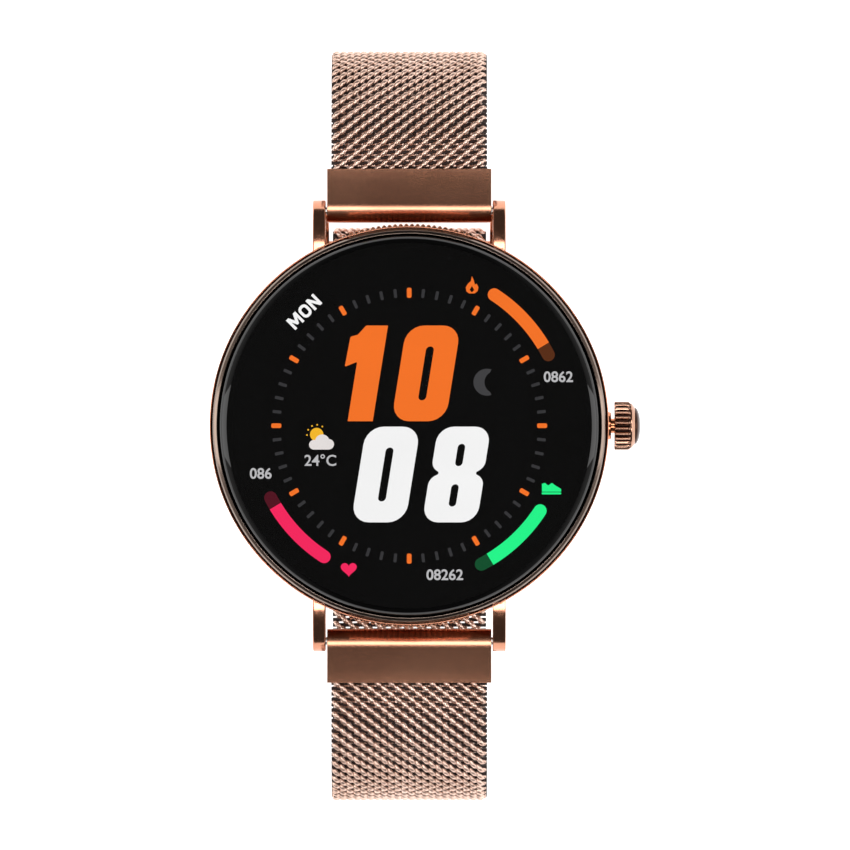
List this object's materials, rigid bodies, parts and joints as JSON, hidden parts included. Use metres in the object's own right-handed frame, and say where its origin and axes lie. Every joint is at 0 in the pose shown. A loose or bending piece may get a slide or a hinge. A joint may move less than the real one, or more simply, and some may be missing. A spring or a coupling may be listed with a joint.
{
  "type": "round smartwatch",
  "caption": "Round smartwatch with a rose-gold case, fluted press-and-turn crown, black round display and a closed woven steel mesh strap with a magnetic folded tail.",
  "frame": {"origin": "centre of the case back's flat outer face", "axes": "+Z out of the display, +Y to 12 o'clock along the strap, +X to the crown"},
  "size_m": [0.0464, 0.0812, 0.0529],
  "materials": {
    "rose_gold_polished": "polished rose-gold plating",
    "rose_gold_bezel": "polished rose-gold plating",
    "rose_gold_brushed": "satin rose-gold plating",
    "rose_gold_copper": "polished rose-gold plating",
    "rose_gold_crown": "polished rose-gold plating",
    "rose_gold_dark": "polished rose-gold plating",
    "rose_gold_mesh": "rose-gold plated wire",
    "cover_glass": "polished mineral glass",
    "sensor_glass": "dark optical glass",
    "display": "emissive round display",
    "black_seal": "matt black rubber",
    "black_plastic": "moulded black plastic",
    "flex_circuit": "amber film",
    "circuit_board": "green solder mask",
    "chip_black": "moulded chip package",
    "battery_foil": "silver pouch foil",
    "steel_plain": "turned steel",
    "gold_contact": "gold flash",
    "back_metal": "bead-blasted rose-gold anodising",
    "led_green": "clear LED package",
    "magnet": "nickel-plated magnet",
    "screw_steel": "plated screw"
  },
  "bodies": {
    "watch_case": {"case_middle": "rose_gold_polished", "bezel_ring": "rose_gold_bezel", "cover_glass": "cover_glass", "glass_gasket": "black_seal", "display_panel": "display", "display_flex": "flex_circuit", "inner_frame": "black_plastic", "main_board": "circuit_board", "board_chips": "chip_black", "battery": "battery_foil", "vibration_motor": "steel_plain", "speaker": "black_plastic", "microphone": "gold_contact", "back_cover": "back_metal", "back_gasket": "black_seal", "sensor_window": "sensor_glass", "sensor_board": "circuit_board", "sensor_leds": "led_green", "charging_pads": "gold_contact", "charge_magnets": "magnet", "back_screws": "screw_steel", "crown_tube": "rose_gold_copper", "crown_switch": "steel_plain", "crown_flex": "flex_circuit"},
    "crown_carrier": {"crown_yoke": "steel_plain"},
    "crown": {"crown_stem": "steel_plain", "crown_seal": "black_seal", "crown_knob": "rose_gold_crown", "crown_cap": "rose_gold_dark"},
    "upper_strap": {"upper_clamp": "rose_gold_brushed", "upper_bar_tube": "steel_plain", "upper_bar_spring": "steel_plain", "upper_mesh": "rose_gold_mesh", "ring_clamp": "rose_gold_brushed", "buckle_ring": "rose_gold_copper"},
    "upper_release": {"upper_bar_pin": "steel_plain"},
    "lower_strap": {"lower_clamp": "rose_gold_brushed", "lower_bar_tube": "steel_plain", "lower_bar_spring": "steel_plain", "lower_mesh": "rose_gold_mesh"},
    "lower_release": {"lower_bar_pin": "steel_plain"},
    "under_strap": {"under_mesh": "rose_gold_mesh"},
    "tail_flap": {"tail_mesh": "rose_gold_mesh", "tab_shell": "rose_gold_brushed", "tab_lid": "rose_gold_brushed", "tab_magnets": "magnet"}
  },
  "joints": [
    {"name": "strap_sway", "type": "hinge", "parent": "watch_case", "child": "lower_strap", "pos_m": [0, -0.0232, 0.0032], "axis": [1, 0, 0], "range_deg": [-12, 12]},
    {"name": "upper_lug_hinge", "type": "hinge", "parent": "watch_case", "child": "upper_strap", "pos_m": [0, 0.0232, 0.0032], "axis": [1, 0, 0], "range_deg": [-12, 12]},
    {"name": "heel_flex", "type": "hinge", "parent": "lower_strap", "child": "under_strap", "pos_m": [0, -0.0268, -0.04], "axis": [1, 0, 0], "range_deg": [-12, 12]},
    {"name": "tail_peel", "type": "hinge", "parent": "under_strap", "child": "tail_flap", "pos_m": [0, 0.0196, -0.04225], "axis": [1, 0, 0], "range_deg": [0, 120]},
    {"name": "crown_press", "type": "slide", "parent": "watch_case", "child": "crown_carrier", "axis": [-1, 0, 0], "range_m": [0, 0.00025], "stiffness_N_per_m": 3000},
    {"name": "crown_turn", "type": "hinge", "parent": "crown_carrier", "child": "crown", "pos_m": [0, 0, 0.0048], "axis": [1, 0, 0], "continuous": true},
    {"name": "upper_bar_slide", "type": "slide", "parent": "upper_strap", "child": "upper_release", "axis": [-1, 0, 0], "range_m": [0, 0.001], "stiffness_N_per_m": 1200, "deforming": ["upper_bar_spring"]},
    {"name": "lower_bar_slide", "type": "slide", "parent": "lower_strap", "child": "lower_release", "axis": [-1, 0, 0], "range_m": [0, 0.001], "stiffness_N_per_m": 1200, "deforming": ["lower_bar_spring"]}
  ],
  "couplings": [
    {"joint": "upper_lug_hinge", "follows": "strap_sway", "ratio": 1},
    {"joint": "heel_flex", "follows": "strap_sway", "ratio": -1}
  ]
}
